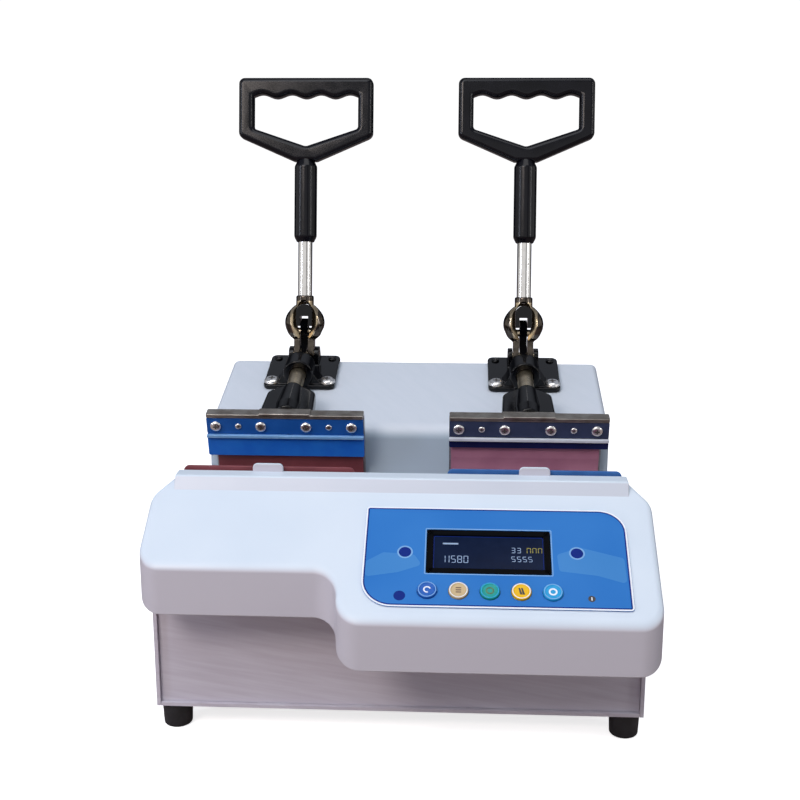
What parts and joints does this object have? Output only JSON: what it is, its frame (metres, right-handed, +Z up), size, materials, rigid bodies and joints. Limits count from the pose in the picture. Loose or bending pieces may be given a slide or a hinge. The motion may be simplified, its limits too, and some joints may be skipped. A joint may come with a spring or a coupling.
{
  "type": "double mug press",
  "caption": "Bench-top heat press for two mugs: sloped control console, rear housing, and two jaws closed by upright toggle handles with D-shaped grips.",
  "frame": {"origin": "bench level, under the middle of the machine's bounding box", "axes": "+Z up, -Y towards the operator (the console side), +X to the operator's right"},
  "size_m": [0.335, 0.3574, 0.4441],
  "materials": {
    "white_abs": "moulded, semi-gloss",
    "cabinet_paint": "pale grey paint on folded steel",
    "zinc_steel": "zinc-plated sheet",
    "foot_rubber": "moulded, matt",
    "black_enamel": "gloss black enamel on cast metal",
    "black_plastic": "polished moulding",
    "panel_film": "printed polyester film",
    "display_glass": "clear window over a dark display",
    "button_blue": "moulded silicone",
    "button_tan": "moulded silicone",
    "button_green": "moulded silicone",
    "button_yellow": "moulded silicone",
    "button_cyan": "moulded silicone",
    "circuit_board": "glass-fibre board, green mask",
    "chrome": "polished plating",
    "turned_steel": "turned and ground",
    "blue_enamel": "blue paint on folded steel",
    "navy_enamel": "dark blue paint on folded steel",
    "silicone_mat": "red-brown silicone rubber"
  },
  "bodies": {
    "root": {"base_cabinet": "cabinet_paint", "front_panel": "cabinet_paint", "base_plate": "zinc_steel", "rear_panel": "cabinet_paint", "foot_front_left": "foot_rubber", "foot_front_right": "foot_rubber", "foot_rear_left": "foot_rubber", "foot_rear_right": "foot_rubber", "console_shell": "white_abs", "console_base": "white_abs", "control_overlay": "panel_film", "lcd_module": "display_glass", "control_board": "circuit_board", "rear_housing": "white_abs", "mount_frame": "zinc_steel", "toggle_bracket_left": "black_enamel", "toggle_bracket_right": "black_enamel", "pivot_pin_left": "turned_steel", "pivot_pin_right": "turned_steel", "front_jaw_shell_left": "silicone_mat", "front_jaw_shell_right": "navy_enamel", "front_heat_mat_left": "silicone_mat", "front_heat_mat_right": "silicone_mat", "jaw_cradle": "zinc_steel", "power_supply": "zinc_steel", "relay_block": "zinc_steel", "mains_inlet": "black_plastic", "switch_housing": "black_plastic"},
    "handle_left": {"handle_yoke_left": "chrome", "yoke_core_left": "black_plastic", "crank_pin_left": "turned_steel", "handle_rod_left": "chrome", "hand_grip_left": "black_plastic"},
    "handle_right": {"handle_yoke_right": "chrome", "yoke_core_right": "black_plastic", "crank_pin_right": "turned_steel", "handle_rod_right": "chrome", "hand_grip_right": "black_plastic"},
    "jaw_left": {"plunger_left": "turned_steel", "slotted_link_left": "black_enamel", "press_shoe_left": "black_enamel", "jaw_top_plate_left": "turned_steel", "screw_strip_left": "blue_enamel", "clamp_band_left": "blue_enamel", "rear_jaw_shell_left": "zinc_steel", "rear_heat_mat_left": "silicone_mat"},
    "jaw_right": {"plunger_right": "turned_steel", "slotted_link_right": "black_enamel", "press_shoe_right": "black_enamel", "jaw_top_plate_right": "turned_steel", "screw_strip_right": "navy_enamel", "clamp_band_right": "navy_enamel", "rear_jaw_shell_right": "zinc_steel", "rear_heat_mat_right": "silicone_mat"},
    "button_1": {"panel_button_1": "button_blue"},
    "button_2": {"panel_button_2": "button_tan"},
    "button_3": {"panel_button_3": "button_green"},
    "button_4": {"panel_button_4": "button_yellow"},
    "button_5": {"panel_button_5": "button_cyan"},
    "rocker": {"power_rocker": "black_plastic"}
  },
  "joints": [
    {"name": "handle_left_hinge", "type": "hinge", "parent": "root", "child": "handle_left", "pos_m": [-0.091, 0.12802, 0.21951], "axis": [1, 0, 0], "range_deg": [0, 60]},
    {"name": "handle_right_hinge", "type": "hinge", "parent": "root", "child": "handle_right", "pos_m": [0.091, 0.12802, 0.21951], "axis": [1, 0, 0], "range_deg": [0, 60]},
    {"name": "jaw_left_slide", "type": "slide", "parent": "root", "child": "jaw_left", "axis": [0, -0.9699, -0.2436], "range_m": [0, 0.0191]},
    {"name": "jaw_right_slide", "type": "slide", "parent": "root", "child": "jaw_right", "axis": [0, -0.9699, -0.2436], "range_m": [0, 0.0191]},
    {"name": "button_1_press", "type": "slide", "parent": "root", "child": "button_1", "axis": [0, 0.5299, -0.848], "range_m": [0, 0.0012], "stiffness_N_per_m": 300, "springref_m": -0.0005},
    {"name": "button_2_press", "type": "slide", "parent": "root", "child": "button_2", "axis": [0, 0.5299, -0.848], "range_m": [0, 0.0012], "stiffness_N_per_m": 300, "springref_m": -0.0005},
    {"name": "button_3_press", "type": "slide", "parent": "root", "child": "button_3", "axis": [0, 0.5299, -0.848], "range_m": [0, 0.0012], "stiffness_N_per_m": 300, "springref_m": -0.0005},
    {"name": "button_4_press", "type": "slide", "parent": "root", "child": "button_4", "axis": [0, 0.5299, -0.848], "range_m": [0, 0.0012], "stiffness_N_per_m": 300, "springref_m": -0.0005},
    {"name": "button_5_press", "type": "slide", "parent": "root", "child": "button_5", "axis": [0, 0.5299, -0.848], "range_m": [0, 0.0012], "stiffness_N_per_m": 300, "springref_m": -0.0005},
    {"name": "rocker_hinge", "type": "hinge", "parent": "root", "child": "rocker", "pos_m": [-0.058, 0.14155, 0.056], "axis": [1, 0, 0], "range_deg": [-16, 0]}
  ],
  "couplings": [
    {"joint": "jaw_left_slide", "follows": "handle_left_hinge", "m_per_rad": 0.018144},
    {"joint": "jaw_right_slide", "follows": "handle_right_hinge", "m_per_rad": 0.018144}
  ]
}
